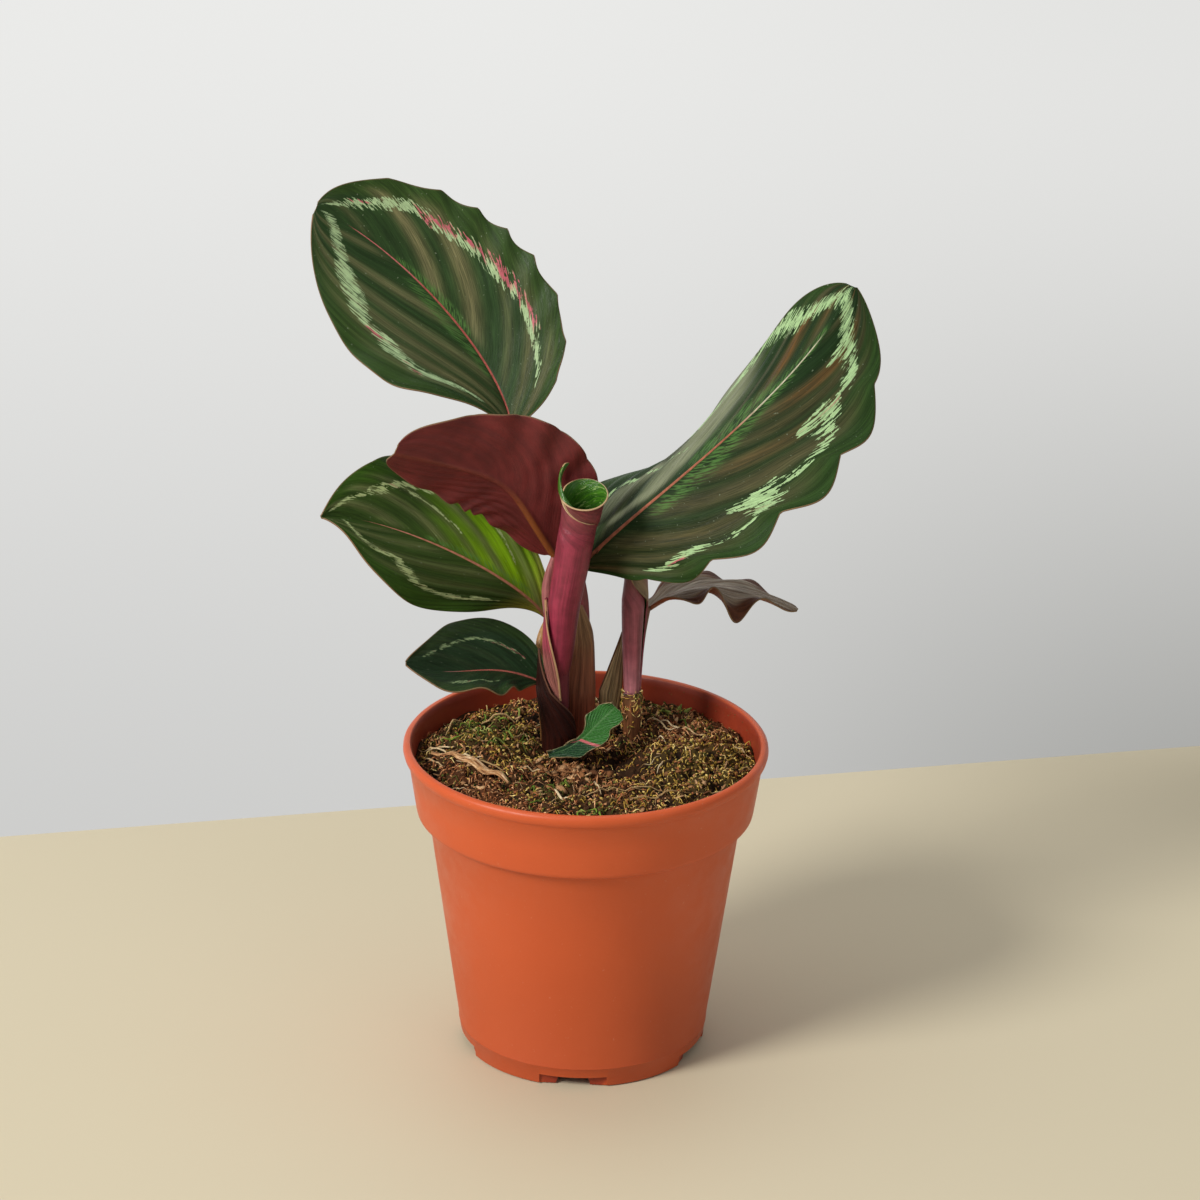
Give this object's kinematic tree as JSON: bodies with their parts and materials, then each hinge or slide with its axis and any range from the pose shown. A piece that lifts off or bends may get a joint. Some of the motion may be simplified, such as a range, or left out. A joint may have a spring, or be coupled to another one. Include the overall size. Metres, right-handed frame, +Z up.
{
  "type": "potted calathea",
  "caption": "Potted calathea: patterned oval leaves on stalks, one turned to show its plum underside and one still rolled, standing in mossy soil in a tapered plastic pot with a deep collar.",
  "frame": {"origin": "middle of the pot's base, on the surface that the pot stands on", "axes": "+Z up through the plant, +X toward the tall right leaf, -Y toward the side that the open leaf faces turn to"},
  "size_m": [0.1672, 0.1108, 0.2532],
  "materials": {
    "terracotta_plastic": "satin",
    "mossy_compost": "rough, matt",
    "leaf_green": "satin, waxy",
    "rolled_magenta": "satin",
    "rolled_plum": "satin",
    "stalk_red_brown": "satin",
    "sheath_brown": "satin",
    "sheath_pink": "satin",
    "sheath_olive": "matt",
    "sheath_straw": "matt"
  },
  "bodies": {
    "root": {"pot": "terracotta_plastic", "soil": "mossy_compost", "leaf_upper_left": "leaf_green", "leaf_back_turned": "leaf_green", "leaf_left": "leaf_green", "leaf_low_left": "leaf_green", "leaf_right": "leaf_green", "leaf_low_right": "leaf_green", "leaf_seedling": "leaf_green", "leaf_rolled": "rolled_magenta", "leaf_rolled_right": "rolled_plum", "petiole_rolled": "rolled_magenta", "petiole_upper_left": "stalk_red_brown", "petiole_back_turned": "stalk_red_brown", "petiole_left": "stalk_red_brown", "petiole_low_left": "stalk_red_brown", "petiole_right": "stalk_red_brown", "petiole_low_right": "stalk_red_brown", "petiole_seedling": "stalk_red_brown", "stem_right": "sheath_brown", "sheath_front": "sheath_brown", "sheath_pink": "sheath_pink", "sheath_middle": "sheath_olive", "sheath_dry": "sheath_straw"}
  },
  "joints": []
}
